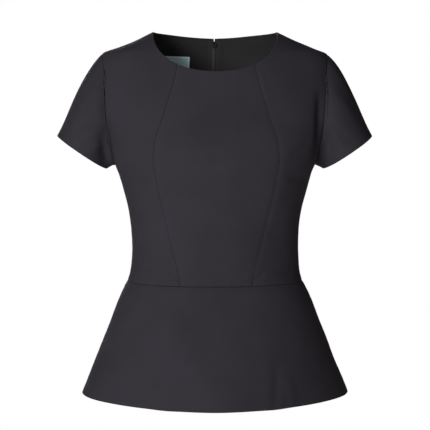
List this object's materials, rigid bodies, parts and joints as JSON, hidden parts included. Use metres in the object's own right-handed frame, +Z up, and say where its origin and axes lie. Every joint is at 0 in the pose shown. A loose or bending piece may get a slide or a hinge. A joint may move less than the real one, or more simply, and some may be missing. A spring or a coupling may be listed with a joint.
{
  "type": "peplum top",
  "caption": "Fitted short-sleeved top with a round neck, princess seams, a flared peplum and a back zip, filled out as worn.",
  "frame": {"origin": "midway between the two high shoulder points, where the neckline meets the shoulder seams", "axes": "+Z up along the body, -Y out of the front, +X towards the wearer's left"},
  "size_m": [0.517, 0.318, 0.5935],
  "materials": {
    "suiting": "matte",
    "facing": "matte",
    "zip_tape": "woven",
    "label": "woven satin",
    "zip_metal": "satin"
  },
  "bodies": {
    "garment": {"bodice_front_centre": "suiting", "bodice_front_side_left": "suiting", "bodice_front_side_right": "suiting", "bodice_back_left": "suiting", "bodice_back_right": "suiting", "sleeve_left": "suiting", "sleeve_right": "suiting", "peplum_front": "suiting", "peplum_back_left": "suiting", "peplum_back_right": "suiting", "back_facing_left": "facing", "back_facing_right": "facing", "zip_tape_left": "zip_tape", "zip_tape_right": "zip_tape", "label": "label", "zip_slider": "zip_metal"},
    "pull_tab": {"zip_pull_tab": "zip_metal"}
  },
  "joints": [
    {"name": "pull_tab_hinge", "type": "hinge", "parent": "garment", "child": "pull_tab", "pos_m": [0, 0.06358, -0.01339], "axis": [1, 0, 0], "range_deg": [0, 150]}
  ]
}
